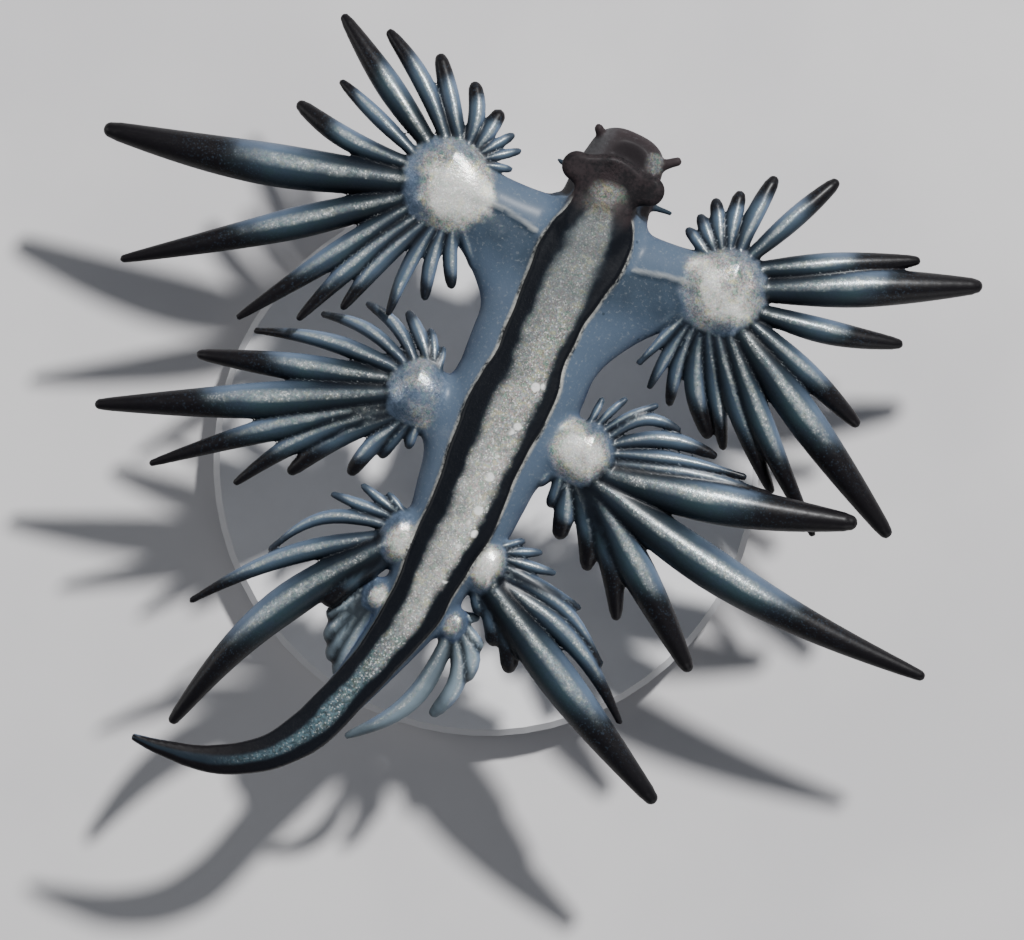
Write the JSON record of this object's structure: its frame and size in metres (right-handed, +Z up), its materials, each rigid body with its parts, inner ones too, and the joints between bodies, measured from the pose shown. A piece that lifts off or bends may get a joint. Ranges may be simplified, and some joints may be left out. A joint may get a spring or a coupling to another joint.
{
  "type": "blue dragon sea slug",
  "caption": "Life-size museum model of a blue dragon sea slug, floating belly up with fans of finger-like cerata on short arms, held by a plain round base with rods.",
  "frame": {"origin": "centre of the underside of the stand's base, under the middle of the animal's outline", "axes": "+Y toward the head, +X to the right of the picture's animal as seen from above, where the longest reach across the cerata lies, +Z up, which is the way the sole of the foot looks"},
  "size_m": [0.0462, 0.0384, 0.0119],
  "materials": {
    "foot_skin": "wet silver-grey sole with near-black navy side bands and blue flanks",
    "tail_skin": "wet silver-teal band narrowing between navy sides",
    "arm_skin": "wet silver hub, powder-blue web, cerata silver-blue with near-black tips",
    "head_skin": "wet brown-black snout with pale blue-grey sides",
    "stand_base": "white satin lacquer",
    "stand_rod": "plain brushed steel"
  },
  "bodies": {
    "root": {"trunk_front": "foot_skin", "trunk_middle": "foot_skin", "trunk_rear": "foot_skin", "tail_base": "tail_skin", "tail_tip": "tail_skin", "head": "head_skin", "oral_tentacle_left": "head_skin", "oral_tentacle_right": "head_skin", "rhinophore_left": "head_skin", "rhinophore_right": "head_skin", "arm_front_left": "arm_skin", "arm_front_right": "arm_skin", "arm_middle_left": "arm_skin", "arm_middle_right": "arm_skin", "arm_rear_left": "arm_skin", "arm_rear_right": "arm_skin", "arm_last_left": "arm_skin", "arm_last_right": "arm_skin", "stand_base": "stand_base", "stand_rod_front": "stand_rod", "stand_rod_rear": "stand_rod"}
  },
  "joints": []
}
